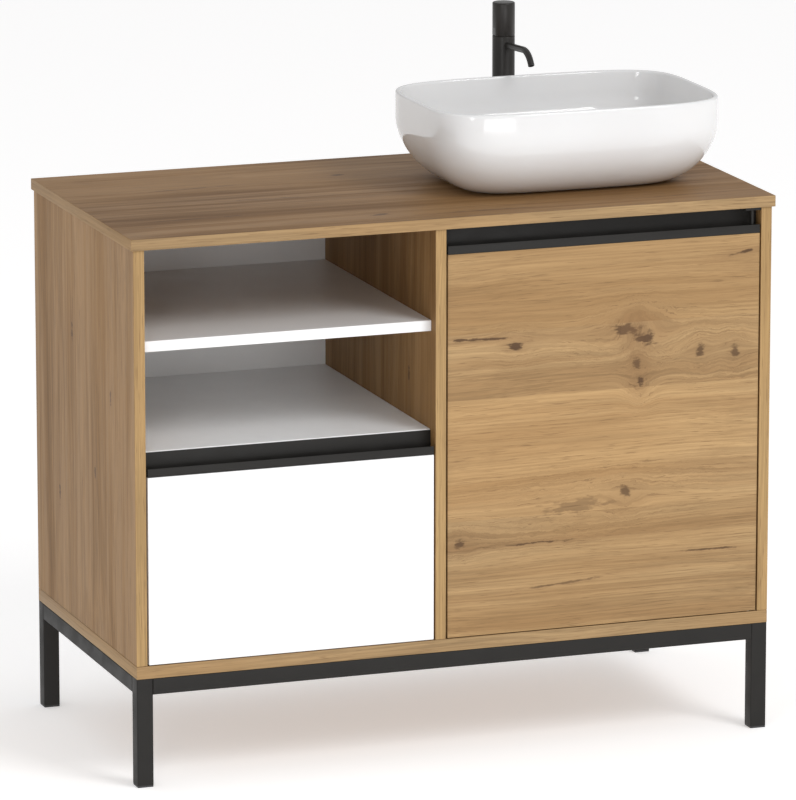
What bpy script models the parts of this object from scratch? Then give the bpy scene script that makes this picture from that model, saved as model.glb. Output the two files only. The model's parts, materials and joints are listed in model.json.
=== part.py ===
"""Bathroom vanity with a vessel basin, a tall column tap, an open niche, one drawer and one door.

Metres, +Z up. X runs along the worktop, -Y is the front, the floor is Z = 0 and the origin is the
middle of the footprint. The drawer slides along -Y, the door turns about a vertical pin at its right
edge, the tap's cap turns on the column and the waste plug rises and falls.
"""

import math

import bmesh
import bpy
from mathutils import Vector

# Driving dimensions
WIDTH = 1.000
DEPTH = 0.500
WORKTOP_TOP = 0.8164
WORKTOP_THICK = 0.0167
FRAME_TOP = 0.1635
TUBE = 0.0247
TUBE_WALL = 0.0015
BOTTOM_THICK = 0.0190
BOARD = 0.0165
SHELF_THICK = 0.0160
BACK_THICK = 0.0030
OVERHANG = 0.0043
FRONT_SETBACK = 0.0036
GAP = 0.0003
REVEAL = 0.0026
SILL_GAP = 0.0013
EDGE = 0.0005

DIVIDER_X = -0.0258
NICHE_SHELF_TOP = 0.6616
NICHE_SHELF_SETBACK = 0.0217
COVER_SHELF_TOP = 0.4976
GRIP_SETBACK = 0.0247
GRIP_SHEET = 0.0015
LIP_HEIGHT = 0.0128
DRAWER_TOP = 0.4636
DOOR_TOP = 0.7608
FRONT_THICK = 0.0160

BASIN_X = 0.2400
BASIN_Y = -0.0190
BASIN_HALF_X = 0.2270
BASIN_HALF_Y = 0.1590
BASIN_HEIGHT = 0.1320
BASIN_WALL = 0.0070
BASIN_ROUNDNESS = 4.4
BASIN_SEGMENTS = 56
TAP_Y = 0.2060
TAP_RADIUS = 0.01725
TAP_TOP = 1.0500
TAP_SEAM = 0.9985
SPOUT_Z = 0.9855
SPOUT_REACH = 0.1170
SPOUT_RADIUS = 0.0050
SPOUT_RISE = 0.0045
SPOUT_BEND = 0.0360
SPOUT_TURN = math.radians(55)
WASTE_HOLE = 0.0240
PLUG_RISE = 0.0080
PIN_RADIUS = 0.0025
PIN_CLEARANCE = 0.0003

STRETCHER_THICK = 0.0160
STRETCHER_FOOT = 0.7372
REAR_STRETCHER_FOOT = 0.7300
GRIP_WEB_FOOT = 0.4400
GRIP_FLANGE = 0.0200
SHELF_EDGE_SHOWING = 0.0012
PLUMBING_CUT_X = (0.130, 0.350)
PLUMBING_CUT_Z = (0.500, 0.720)
LEG_FOOT = 0.0030
GLIDE_PLUG = 0.0120
CATCH_Z = (0.4450, 0.4950)
STRIKE_Z = (0.4500, 0.4900)
SOCKET_RADIUS = 0.0043
SOCKET_DEPTH = 0.0122

BASIN_FLOOR = 0.0200
WASTE_TUBE = 0.0200
WASTE_BORE = 0.0175
WASTE_FOOT = 0.7450
WASHER_THICK = 0.0030
NUT_DEPTH = 0.0150
PIPE_RADIUS = 0.0160
PIPE_BORE = 0.0140
PIPE_FOOT = 0.6500
TRAP_RADIUS = 0.0300
TRAP_WALL = 0.0025
TRAP_TOP = 0.7050
TRAP_FOOT = 0.6250
TRAP_CUP_FOOT = 0.5950
TRAP_CUP_RADIUS = 0.0340
TRAP_CUP_FLOOR = 0.0050
TRAP_ARM_Z = 0.6650
TAP_HOLE = 0.0175
TAP_BASE_RADIUS = 0.0200
TAP_BORE = 0.0130
CARTRIDGE_SEAT = 0.9550
CARTRIDGE_BORE = 0.0145
STEM_RADIUS = 0.0040
SHANK_RADIUS = 0.0125
SHANK_FOOT = 0.7500
SCOOP_DEPTH = 0.0016

# Derived levels and planes
WORKTOP_UNDER = WORKTOP_TOP - WORKTOP_THICK
SILL = FRAME_TOP + BOTTOM_THICK
FRONT_Y = -DEPTH / 2 + FRONT_SETBACK
BACK_Y = DEPTH / 2 - GAP
SIDE_X = WIDTH / 2 - OVERHANG
SIDE_INNER = SIDE_X - BOARD
DIVIDER_LEFT = DIVIDER_X - BOARD / 2
DIVIDER_RIGHT = DIVIDER_X + BOARD / 2
FRONT_BACK_Y = FRONT_Y + FRONT_THICK
GRIP_Y = -DEPTH / 2 + GRIP_SETBACK
BACK_PANEL_Y = BACK_Y - BACK_THICK
SHELF_END_Y = BACK_PANEL_Y - GAP
FRONT_BOTTOM = SILL + SILL_GAP
DOOR_LEFT = DIVIDER_RIGHT + REVEAL
DOOR_RIGHT = SIDE_INNER - REVEAL
DRAWER_LEFT = -SIDE_INNER + REVEAL
DRAWER_RIGHT = DIVIDER_LEFT - REVEAL
PIVOT_X = DOOR_RIGHT - 0.010
PIVOT_Y = FRONT_Y + 0.006

for old in list(bpy.data.objects):
    bpy.data.objects.remove(old, do_unlink=True)


# Materials
def make_material(name, colour, roughness, metallic=0.0):
    material = bpy.data.materials.new(name)
    material.use_nodes = True
    shader = material.node_tree.nodes["Principled BSDF"]
    shader.inputs["Base Color"].default_value = (*colour, 1.0)
    shader.inputs["Roughness"].default_value = roughness
    shader.inputs["Metallic"].default_value = metallic
    return material


OAK = make_material("oak_laminate", (0.42, 0.28, 0.15), 0.55)
WHITE = make_material("white_laminate", (0.86, 0.86, 0.86), 0.40)
BLACK = make_material("black_coated_steel", (0.040, 0.038, 0.036), 0.45)
TAP_BLACK = make_material("black_tap_finish", (0.035, 0.032, 0.030), 0.35, 0.2)
CERAMIC = make_material("glazed_ceramic", (0.82, 0.82, 0.82), 0.10)
CHROME = make_material("chrome_waste", (0.75, 0.75, 0.76), 0.12, 1.0)
STEEL = make_material("zinc_steel", (0.55, 0.55, 0.56), 0.35, 1.0)
RUBBER = make_material("black_rubber", (0.03, 0.03, 0.03), 0.80)
PLASTIC = make_material("black_plastic", (0.05, 0.05, 0.05), 0.50)


# Shape helpers
def add_object(name, mesh, material):
    body = bpy.data.objects.new(name, mesh)
    bpy.context.collection.objects.link(body)
    mesh.materials.append(material)
    return body


def finish_mesh(name, builder, material, smooth=False):
    bmesh.ops.recalc_face_normals(builder, faces=builder.faces)
    mesh = bpy.data.meshes.new(name)
    builder.to_mesh(mesh)
    builder.free()
    if smooth:
        mesh.shade_smooth()
        mesh.set_sharp_from_angle(angle=math.radians(35))
    return add_object(name, mesh, material)


def board(name, low, high, material, edge=EDGE):
    """A rectangular board between two corners, with its arrises broken."""
    size = Vector(high) - Vector(low)
    builder = bmesh.new()
    bmesh.ops.create_cube(builder, size=1.0)
    bmesh.ops.scale(builder, vec=size, verts=builder.verts)
    bmesh.ops.translate(builder, vec=(Vector(low) + Vector(high)) / 2, verts=builder.verts)
    body = finish_mesh(name, builder, material)
    if edge:
        bevel = body.modifiers.new("arris", "BEVEL")
        bevel.width = edge
        bevel.segments = 1
        bevel.limit_method = "ANGLE"
    return body


def extruded(name, outline, start, end, axis, material):
    """An outline pushed along X or Y. Along X the outline is (y, z); along Y it is (x, z)."""
    builder = bmesh.new()
    if axis == "X":
        corners = [builder.verts.new((start, a, b)) for a, b in outline]
        step = Vector((end - start, 0, 0))
    else:
        corners = [builder.verts.new((a, start, b)) for a, b in outline]
        step = Vector((0, end - start, 0))
    face = builder.faces.new(corners)
    pushed = bmesh.ops.extrude_face_region(builder, geom=[face])["geom"]
    moved = [item for item in pushed if isinstance(item, bmesh.types.BMVert)]
    bmesh.ops.translate(builder, vec=step, verts=moved)
    return finish_mesh(name, builder, material)


def turned(name, profile, centre, material, segments=32, closed=False, along="Z"):
    """A profile of (radius, height) spun about an axis through centre."""
    builder = bmesh.new()
    points = [builder.verts.new((r, 0, z)) for r, z in profile]
    edges = [builder.edges.new(pair) for pair in zip(points, points[1:])]
    if closed:
        edges.append(builder.edges.new((points[-1], points[0])))
    bmesh.ops.spin(
        builder,
        geom=points + edges,
        axis=(0, 0, 1),
        cent=(0, 0, 0),
        steps=segments,
        angle=2 * math.pi,
        use_merge=True,
    )
    bmesh.ops.remove_doubles(builder, verts=builder.verts, dist=0.00001)
    if along == "Y":
        for vert in builder.verts:
            x, y, z = vert.co
            vert.co = (x, z, -y)
    bmesh.ops.translate(builder, vec=centre, verts=builder.verts)
    return finish_mesh(name, builder, material, smooth=True)


def ring(name, outer, inner, low, high, centre_xy, material, segments=32):
    """A plain tube or washer between two heights."""
    profile = [(inner, high), (outer, high), (outer, low), (inner, low)]
    return turned(name, profile, (*centre_xy, 0), material, segments, closed=True)


def rod(name, radius, low, high, centre_xy, material, segments=24):
    profile = [(0, high), (radius, high), (radius, low), (0, low)]
    return turned(name, profile, (*centre_xy, 0), material, segments)


def boolean(body, tool, operation):
    """Cuts body with tool, or joins tool to it; the tool itself is only a guide."""
    modifier = body.modifiers.new(operation.lower(), "BOOLEAN")
    modifier.operation = operation
    modifier.object = tool
    tool.hide_render = True
    tool.display_type = "WIRE"


def drill(body, radius, low, high, centre_xy, segments=24):
    label = f"{body.name}_drill_{len(body.modifiers)}"
    cutter = rod(label, radius, low, high, centre_xy, STEEL, segments)
    boolean(body, cutter, "DIFFERENCE")


def hex_nut(name, corner_radius, hole, low, high, centre_xy, material):
    builder = bmesh.new()
    bmesh.ops.create_cone(
        builder, cap_ends=True, segments=6, radius1=corner_radius, radius2=corner_radius, depth=high - low
    )
    bmesh.ops.translate(builder, vec=(*centre_xy, (low + high) / 2), verts=builder.verts)
    nut = finish_mesh(name, builder, material)
    drill(nut, hole, low - 0.01, high + 0.01, centre_xy)


def square_tube(name, low, high, axis, material):
    """A square steel tube, open at both ends, running along X, Y or Z."""
    builder = bmesh.new()
    side = {"X": (1, 2), "Y": (2, 0), "Z": (0, 1)}[axis]
    along = "XYZ".index(axis)
    loops = []
    for inset in (0.0, TUBE_WALL):
        for end in (low[along], high[along]):
            corners = []
            for u, v in ((0, 0), (1, 0), (1, 1), (0, 1)):
                place = [0.0, 0.0, 0.0]
                place[along] = end
                place[side[0]] = (low, high)[u][side[0]] + inset * (1 - 2 * u)
                place[side[1]] = (low, high)[v][side[1]] + inset * (1 - 2 * v)
                corners.append(builder.verts.new(place))
            loops.append(corners)
    outer_low, outer_high, inner_low, inner_high = loops
    bands = (
        (outer_low, outer_high),
        (inner_high, inner_low),
        (outer_high, inner_high),
        (inner_low, outer_low),
    )
    for first, second in bands:
        for k in range(4):
            builder.faces.new((first[k], first[(k + 1) % 4], second[(k + 1) % 4], second[k]))
    return finish_mesh(name, builder, material)


# Worktop and carcass
def make_worktop():
    worktop = board(
        "worktop",
        (-WIDTH / 2, -DEPTH / 2, WORKTOP_UNDER),
        (WIDTH / 2, DEPTH / 2, WORKTOP_TOP),
        OAK,
    )
    drill(worktop, WASTE_HOLE, WORKTOP_UNDER - 0.01, WORKTOP_TOP + 0.01, (BASIN_X, BASIN_Y), 32)
    drill(worktop, TAP_HOLE, WORKTOP_UNDER - 0.01, WORKTOP_TOP + 0.01, (BASIN_X, TAP_Y), 32)


def make_carcass():
    top = WORKTOP_UNDER - GAP
    foot = SILL + GAP
    bottom = board("bottom_panel", (-SIDE_X, FRONT_Y, FRAME_TOP), (SIDE_X, BACK_Y, SILL), OAK)
    drill(bottom, SOCKET_RADIUS + GAP, SILL - SOCKET_DEPTH - GAP, SILL + 0.01, (PIVOT_X, PIVOT_Y))
    board("side_panel_left", (-SIDE_X, FRONT_Y, foot), (-SIDE_INNER, BACK_Y, top), OAK)
    board("side_panel_right", (SIDE_INNER, FRONT_Y, foot), (SIDE_X, BACK_Y, top), OAK)
    board("divider_panel", (DIVIDER_LEFT, FRONT_Y, foot), (DIVIDER_RIGHT, BACK_Y, top), OAK)

    left, right = -SIDE_INNER + GAP, DIVIDER_LEFT - GAP
    board(
        "niche_shelf",
        (left, -DEPTH / 2 + NICHE_SHELF_SETBACK, NICHE_SHELF_TOP - SHELF_THICK),
        (right, SHELF_END_Y, NICHE_SHELF_TOP),
        WHITE,
    )
    board(
        "drawer_cover_shelf",
        (left, GRIP_Y + GRIP_SHEET + GAP, COVER_SHELF_TOP - SHELF_THICK),
        (right, SHELF_END_Y, COVER_SHELF_TOP),
        WHITE,
    )
    board("back_panel_left", (left, BACK_PANEL_Y, foot), (right, BACK_Y, top), WHITE, edge=0)

    left, right = DIVIDER_RIGHT + GAP, SIDE_INNER - GAP
    back = board("back_panel_right", (left, BACK_PANEL_Y, foot), (right, BACK_Y, top), WHITE, edge=0)
    cutter = board(
        "plumbing_cut",
        (PLUMBING_CUT_X[0], BACK_PANEL_Y - 0.01, PLUMBING_CUT_Z[0]),
        (PLUMBING_CUT_X[1], BACK_Y + 0.01, PLUMBING_CUT_Z[1]),
        STEEL,
        edge=0,
    )
    boolean(back, cutter, "DIFFERENCE")
    front = GRIP_Y + GRIP_SHEET + GAP
    board("front_stretcher", (left, front, STRETCHER_FOOT), (right, front + STRETCHER_THICK, top), WHITE)
    front = SHELF_END_Y - STRETCHER_THICK
    board("rear_stretcher", (left, front, REAR_STRETCHER_FOOT), (right, SHELF_END_Y, top), WHITE)


def make_grip_profiles():
    """Folded black strips behind the fingers, each a web on the board's face with a fixing flange."""
    web, inner = GRIP_Y, GRIP_Y + GRIP_SHEET
    flange = COVER_SHELF_TOP - SHELF_THICK - GAP
    strip_top = COVER_SHELF_TOP - SHELF_EDGE_SHOWING
    outline = [
        (web, strip_top),
        (web, GRIP_WEB_FOOT),
        (inner, GRIP_WEB_FOOT),
        (inner, flange - GRIP_SHEET),
        (inner + GRIP_FLANGE, flange - GRIP_SHEET),
        (inner + GRIP_FLANGE, flange),
        (inner, flange),
        (inner, strip_top),
    ]
    extruded("drawer_grip_profile", outline, -SIDE_INNER + GAP, DIVIDER_LEFT - GAP, "X", BLACK)
    top = WORKTOP_UNDER - GAP
    foot = STRETCHER_FOOT - GAP
    outline = [
        (web, top),
        (web, foot - GRIP_SHEET),
        (inner + STRETCHER_THICK, foot - GRIP_SHEET),
        (inner + STRETCHER_THICK, foot),
        (inner, foot),
        (inner, top),
    ]
    extruded("door_grip_profile", outline, DIVIDER_RIGHT + GAP, SIDE_INNER - GAP, "X", BLACK)


# Base frame
def make_base_frame():
    leg_top = FRAME_TOP - GAP
    for side, x in (("left", -SIDE_X), ("right", SIDE_X - TUBE)):
        for end, y in (("front", FRONT_Y), ("back", BACK_Y - TUBE)):
            square_tube(f"leg_{end}_{side}", (x, y, LEG_FOOT), (x + TUBE, y + TUBE, leg_top), "Z", BLACK)
            make_glide(f"leg_glide_{end}_{side}", x + TUBE / 2, y + TUBE / 2)
    rail_foot = FRAME_TOP - TUBE
    span_x = SIDE_X - TUBE - GAP
    for end, y in (("front", FRONT_Y), ("back", BACK_Y - TUBE)):
        square_tube(f"frame_rail_{end}", (-span_x, y, rail_foot), (span_x, y + TUBE, leg_top), "X", BLACK)
    low_y, high_y = FRONT_Y + TUBE + GAP, BACK_Y - TUBE - GAP
    for side, x in (("left", -SIDE_X), ("right", SIDE_X - TUBE)):
        square_tube(f"frame_rail_{side}", (x, low_y, rail_foot), (x + TUBE, high_y, leg_top), "Y", BLACK)


def make_glide(name, x, y):
    """A plastic glide: a square sole under the leg and a plug inside it."""
    sole = TUBE / 2 - 0.0006
    plug = TUBE / 2 - TUBE_WALL - GAP
    under_leg = LEG_FOOT - GAP
    levels = ((sole, 0.0), (sole, under_leg), (plug, under_leg), (plug, LEG_FOOT + GLIDE_PLUG))
    turns = ((-1, -1), (1, -1), (1, 1), (-1, 1))
    builder = bmesh.new()
    loops = []
    for half, z in levels:
        loops.append([builder.verts.new((x + u * half, y + v * half, z)) for u, v in turns])
    builder.faces.new(loops[0])
    builder.faces.new(loops[-1])
    for first, second in zip(loops, loops[1:]):
        for k in range(4):
            builder.faces.new((first[k], first[(k + 1) % 4], second[(k + 1) % 4], second[k]))
    finish_mesh(name, builder, PLASTIC)


# Drawer
DRAWER_BOX_SIDE = 0.0120
RUNNER_SPACE = 0.0127
BOX_LEFT = -SIDE_INNER + RUNNER_SPACE
BOX_RIGHT = DIVIDER_LEFT - RUNNER_SPACE
BOX_FRONT = FRONT_BACK_Y + GAP
BOX_BACK = 0.1900
BOX_FOOT = 0.2050
BOX_TOP = 0.4250
BOX_BOTTOM_RISE = 0.0060
BOX_BOTTOM_THICK = 0.0060
RUNNER_Z = 0.2900
RUNNER_FRONT = -0.2100
RUNNER_BACK = 0.1850


def lip_outline(top):
    """An angle on a front's top edge: a flange along the edge and a low lip at the face."""
    foot = top + GAP
    return [
        (FRONT_Y, foot),
        (FRONT_BACK_Y, foot),
        (FRONT_BACK_Y, foot + GRIP_SHEET),
        (FRONT_Y + GRIP_SHEET, foot + GRIP_SHEET),
        (FRONT_Y + GRIP_SHEET, top + LIP_HEIGHT),
        (FRONT_Y, top + LIP_HEIGHT),
    ]


def make_drawer():
    low, high = (DRAWER_LEFT, FRONT_Y, FRONT_BOTTOM), (DRAWER_RIGHT, FRONT_BACK_Y, DRAWER_TOP)
    board("drawer_front", low, high, WHITE)
    extruded("drawer_grip_lip", lip_outline(DRAWER_TOP), DRAWER_LEFT, DRAWER_RIGHT, "X", BLACK)
    left, right = BOX_LEFT + DRAWER_BOX_SIDE, BOX_RIGHT - DRAWER_BOX_SIDE
    board("drawer_side_left", (BOX_LEFT, BOX_FRONT, BOX_FOOT), (left, BOX_BACK, BOX_TOP), WHITE)
    board("drawer_side_right", (right, BOX_FRONT, BOX_FOOT), (BOX_RIGHT, BOX_BACK, BOX_TOP), WHITE)
    inner_left, inner_right = left + GAP, right - GAP
    back = BOX_BACK - DRAWER_BOX_SIDE
    board("drawer_back", (inner_left, back, BOX_FOOT), (inner_right, BOX_BACK, BOX_TOP), WHITE)
    low = (inner_left, BOX_FRONT, BOX_FOOT + BOX_BOTTOM_RISE)
    high = (inner_right, back - GAP, BOX_FOOT + BOX_BOTTOM_RISE + BOX_BOTTOM_THICK)
    board("drawer_bottom", low, high, WHITE)


def runner_outline(wall, towards, reach, tip, half, sheet):
    """A channel section: a web near x = reach and two flanges running to x = tip, measured from wall."""
    web, far = wall + towards * reach, wall + towards * tip
    inner = web + math.copysign(sheet, far - web)
    return [
        (web, RUNNER_Z - half),
        (far, RUNNER_Z - half),
        (far, RUNNER_Z - half + sheet),
        (inner, RUNNER_Z - half + sheet),
        (inner, RUNNER_Z + half - sheet),
        (far, RUNNER_Z + half - sheet),
        (far, RUNNER_Z + half),
        (web, RUNNER_Z + half),
    ]


def make_runners():
    sheet = 0.0014
    outer_tip, outer_half = 0.0098, 0.0175
    inner_tip, inner_half = 0.0030, 0.0145
    for side, wall, towards in (("left", -SIDE_INNER, 1), ("right", DIVIDER_LEFT, -1)):
        fixed = runner_outline(wall, towards, GAP, outer_tip, outer_half, sheet)
        extruded(f"runner_fixed_{side}", fixed, RUNNER_FRONT, RUNNER_BACK, "Y", STEEL)
        moving = runner_outline(wall, towards, RUNNER_SPACE - GAP, inner_tip, inner_half, sheet)
        extruded(f"runner_moving_{side}", moving, RUNNER_FRONT, RUNNER_BACK - 0.005, "Y", STEEL)


# Door and its pins
def make_door():
    low, high = (DOOR_LEFT, FRONT_Y, FRONT_BOTTOM), (DOOR_RIGHT, FRONT_BACK_Y, DOOR_TOP)
    door = board("door_panel", low, high, OAK)
    hole = PIN_RADIUS + PIN_CLEARANCE
    pivot = (PIVOT_X, PIVOT_Y)
    drill(door, hole, FRONT_BOTTOM - 0.01, FRONT_BOTTOM + 0.020, pivot, 16)
    drill(door, hole, DOOR_TOP - 0.020, DOOR_TOP + 0.01, pivot, 16)
    lip = extruded("door_grip_lip", lip_outline(DOOR_TOP), DOOR_LEFT, DOOR_RIGHT, "X", BLACK)
    drill(lip, hole, DOOR_TOP - 0.01, DOOR_TOP + 0.01, pivot, 16)
    rod("door_pin_bottom", PIN_RADIUS, SILL - 0.0115, FRONT_BOTTOM + 0.0195, pivot, STEEL, 16)
    rod("door_pin_top", PIN_RADIUS, DOOR_TOP - 0.0195, WORKTOP_UNDER - 0.0012, pivot, BLACK, 16)
    ring("door_socket_bottom", SOCKET_RADIUS, hole, SILL - SOCKET_DEPTH, SILL - GAP, pivot, PLASTIC, 16)
    socket = board(
        "door_socket_top",
        (PIVOT_X - 0.012, PIVOT_Y - 0.0045, WORKTOP_UNDER - 0.0045),
        (SIDE_INNER - GAP, PIVOT_Y + 0.012, WORKTOP_UNDER - GAP),
        BLACK,
        edge=0,
    )
    drill(socket, hole, WORKTOP_UNDER - 0.01, WORKTOP_UNDER + 0.01, pivot, 16)
    left = DIVIDER_RIGHT + GAP
    low = (DOOR_LEFT + 0.002, FRONT_BACK_Y + GAP, STRIKE_Z[0])
    high = (DOOR_LEFT + 0.014, FRONT_BACK_Y + 0.0015, STRIKE_Z[1])
    board("door_strike", low, high, STEEL, edge=0)
    low = (left, FRONT_BACK_Y + 0.0018, CATCH_Z[0])
    high = (left + 0.016, FRONT_BACK_Y + 0.0178, CATCH_Z[1])
    board("door_catch", low, high, PLASTIC)


# Basin
def oval(half_x, half_y, roundness):
    """Points on |x/a|^n + |y/b|^n = 1, starting at +X and running anticlockwise."""
    points = []
    for k in range(BASIN_SEGMENTS):
        angle = 2 * math.pi * k / BASIN_SEGMENTS
        c, s = math.cos(angle), math.sin(angle)
        x = half_x * math.copysign(abs(c) ** (2 / roundness), c)
        y = half_y * math.copysign(abs(s) ** (2 / roundness), s)
        points.append((x, y))
    return points


def basin_rings():
    """Rings of (half x, half y, roundness, height), round the outside, over the rim and back in."""
    rings = [(WASTE_HOLE - 0.001, WASTE_HOLE - 0.001, 2.0, 0.0)]
    rings.append((0.060, 0.050, 2.4, 0.0))
    turn, narrow_x, narrow_y, power = 0.0907, 0.0747, 0.0701, 1.72
    for k in range(9):
        z = turn * (k / 8) ** 1.4
        inset = 1 - (1 - ((turn - z) / turn) ** power) ** (1 / power)
        rings.append((BASIN_HALF_X - narrow_x * inset, BASIN_HALF_Y - narrow_y * inset, BASIN_ROUNDNESS, z))
    top = BASIN_HEIGHT
    rings.append((BASIN_HALF_X, BASIN_HALF_Y, BASIN_ROUNDNESS, top - 0.0025))
    rings.append((BASIN_HALF_X - 0.0015, BASIN_HALF_Y - 0.0015, BASIN_ROUNDNESS, top - 0.0004))
    rings.append((BASIN_HALF_X - 0.0035, BASIN_HALF_Y - 0.0035, BASIN_ROUNDNESS, top))
    rings.append((BASIN_HALF_X - 0.0055, BASIN_HALF_Y - 0.0055, BASIN_ROUNDNESS, top - 0.0004))
    inner_x, inner_y = BASIN_HALF_X - BASIN_WALL, BASIN_HALF_Y - BASIN_WALL
    floor, shoulder = 0.0240, 0.1000
    rings.append((inner_x, inner_y, BASIN_ROUNDNESS, top - 0.0025))
    for k in range(8):
        z = floor + (shoulder - floor) * (1 - k / 7) ** 1.4
        inset = 1 - (1 - ((shoulder - z) / (shoulder - floor)) ** 2.0) ** 0.5
        rings.append((inner_x - 0.085 * inset, inner_y - 0.080 * inset, BASIN_ROUNDNESS - 0.3 * inset, z))
    rings.append((0.075, 0.058, 2.8, 0.0215))
    rings.append((0.036, 0.036, 2.0, BASIN_FLOOR))
    rings.append((WASTE_HOLE - 0.001, WASTE_HOLE - 0.001, 2.0, BASIN_FLOOR))
    return rings


def make_basin():
    builder = bmesh.new()
    base = WORKTOP_TOP + GAP
    loops = []
    for half_x, half_y, roundness, z in basin_rings():
        outline = oval(half_x, half_y, roundness)
        loops.append([builder.verts.new((BASIN_X + x, BASIN_Y + y, base + z)) for x, y in outline])
    count = BASIN_SEGMENTS
    for first, second in zip(loops, loops[1:] + loops[:1]):
        for k in range(count):
            builder.faces.new((first[k], first[(k + 1) % count], second[(k + 1) % count], second[k]))
    finish_mesh("basin", builder, CERAMIC, smooth=True)


def make_waste():
    floor = WORKTOP_TOP + GAP + BASIN_FLOOR
    centre = (BASIN_X, BASIN_Y, 0)
    outer, inner, foot = WASTE_TUBE, WASTE_BORE, WASTE_FOOT
    profile = [
        (inner, floor + 0.0030),
        (0.0310, floor + 0.0030),
        (0.0325, floor + 0.0015),
        (0.0325, floor + GAP),
        (outer, floor + GAP),
        (outer, foot),
        (inner, foot),
    ]
    body = turned("waste_body", profile, centre, CHROME, 32, closed=True)
    spider_z = floor - 0.045
    spider = board(
        "waste_spider",
        (BASIN_X - 0.0190, BASIN_Y - 0.0040, spider_z),
        (BASIN_X + 0.0190, BASIN_Y + 0.0040, spider_z + 0.008),
        CHROME,
        edge=0,
    )
    boolean(body, spider, "UNION")
    drill(body, 0.0034, spider_z - 0.01, spider_z + 0.02, centre[:2], 16)

    seat = floor + 0.0030 + GAP + PLUG_RISE
    plug = [
        (0, seat + 0.0062),
        (0.014, seat + 0.0058),
        (0.025, seat + 0.0042),
        (0.0295, seat + 0.0022),
        (0.0300, seat),
        (0.0155, seat),
        (0.0150, seat - 0.006),
        (0.0030, seat - 0.006),
        (0.0030, seat - 0.053),
        (0, seat - 0.053),
    ]
    turned("waste_plug", plug, centre, CHROME, 32)
    under = WORKTOP_UNDER - GAP
    seat = under - WASHER_THICK
    ring("waste_washer", 0.0320, outer + GAP, seat, under, centre[:2], RUBBER)
    hex_nut("waste_nut", 0.0300, outer + GAP, under - NUT_DEPTH, seat - GAP, centre[:2], CHROME)
    cup = 0.0245
    sleeve = [
        (outer + GAP, foot + 0.0180),
        (cup, foot + 0.0180),
        (cup, foot - 0.0060),
        (PIPE_RADIUS, foot - 0.0060),
        (PIPE_RADIUS, PIPE_FOOT),
        (PIPE_BORE, PIPE_FOOT),
        (PIPE_BORE, foot - GAP),
        (outer + GAP, foot - GAP),
    ]
    turned("waste_tailpipe", sleeve, centre, CHROME, 32, closed=True)


def make_trap():
    """A bottle trap: a chamber hung on the tailpipe, a screwed cup below and an arm to the wall."""
    centre = (BASIN_X, BASIN_Y, 0)
    top, foot = TRAP_TOP, TRAP_FOOT
    collar = PIPE_RADIUS + 0.005
    inside = TRAP_RADIUS - TRAP_WALL
    chamber = [
        (PIPE_RADIUS + GAP, top),
        (collar, top),
        (collar, top - 0.012),
        (TRAP_RADIUS, top - 0.018),
        (TRAP_RADIUS, foot),
        (inside, foot),
        (inside, top - 0.020),
        (PIPE_RADIUS + GAP, top - 0.014),
    ]
    turned("trap_body", chamber, centre, CHROME, 32, closed=True)
    cup = [
        (0, TRAP_CUP_FOOT),
        (TRAP_CUP_RADIUS - 0.004, TRAP_CUP_FOOT),
        (TRAP_CUP_RADIUS, TRAP_CUP_FOOT + 0.004),
        (TRAP_CUP_RADIUS, foot + 0.012),
        (TRAP_RADIUS + GAP, foot + 0.012),
        (TRAP_RADIUS + GAP, foot - GAP),
        (inside, foot - GAP),
        (inside, TRAP_CUP_FOOT + TRAP_CUP_FLOOR),
        (0, TRAP_CUP_FOOT + TRAP_CUP_FLOOR),
    ]
    turned("trap_cup", cup, centre, CHROME, 32)
    arm = [
        (0.0000, 0.0310),
        (0.0215, 0.0310),
        (0.0215, 0.0450),
        (PIPE_RADIUS, 0.0480),
        (PIPE_RADIUS, BACK_Y - BASIN_Y),
        (PIPE_BORE, BACK_Y - BASIN_Y),
        (PIPE_BORE, 0.0400),
        (0.0000, 0.0400),
    ]
    turned("trap_outlet", arm, (BASIN_X, BASIN_Y, TRAP_ARM_Z), CHROME, 32, along="Y")


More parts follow.
